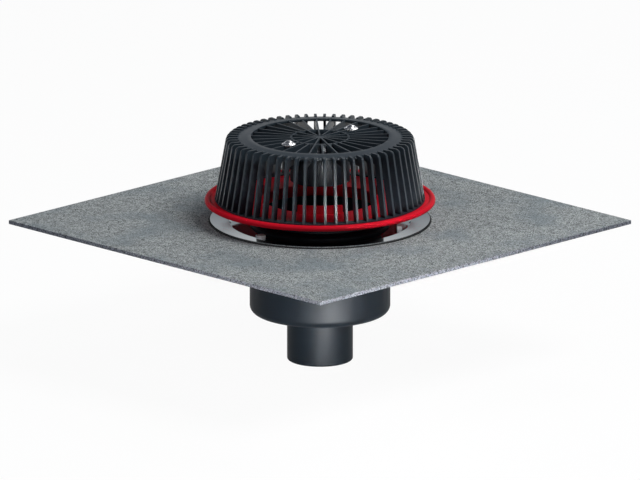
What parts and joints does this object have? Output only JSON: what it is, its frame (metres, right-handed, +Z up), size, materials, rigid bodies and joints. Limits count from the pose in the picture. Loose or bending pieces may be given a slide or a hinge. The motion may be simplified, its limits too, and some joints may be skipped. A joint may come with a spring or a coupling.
{
  "type": "flat roof drain",
  "caption": "Flat roof drain: ribbed leaf basket on a raised dam ring, steel clamp flange, square sealing sheet and pot with a vertical outlet spigot.",
  "frame": {"origin": "centre of the lower end of the outlet spigot, which is the middle of the bottom of the object's box", "axes": "+Z up along the outlet's axis, X and Y along the sides of the square sealing sheet"},
  "size_m": [0.5, 0.5, 0.2659],
  "materials": {
    "body_plastic": "moulded black plastic, satin",
    "insert_brass": "turned",
    "sheet_bitumen": "bitumen sheet with fine mineral grit",
    "seal_rubber": "moulded rubber",
    "flange_steel": "pressed and polished stainless steel",
    "bolt_steel": "stainless steel, as headed",
    "tube_plastic": "moulded black plastic, satin",
    "ring_plastic": "moulded red plastic, semi-gloss",
    "basket_plastic": "moulded black plastic, fine grain",
    "screw_steel": "bright stainless steel"
  },
  "bodies": {
    "root": {"gully_body": "body_plastic", "threaded_inserts": "insert_brass", "connection_sheet": "sheet_bitumen", "flange_gasket": "seal_rubber", "clamp_flange": "flange_steel", "flange_bolts": "bolt_steel", "dam_tube": "tube_plastic", "tube_seal": "seal_rubber", "dam_ring": "ring_plastic", "leaf_basket": "basket_plastic", "air_baffle": "tube_plastic", "screw_washers": "screw_steel", "basket_screws": "screw_steel"}
  },
  "joints": []
}
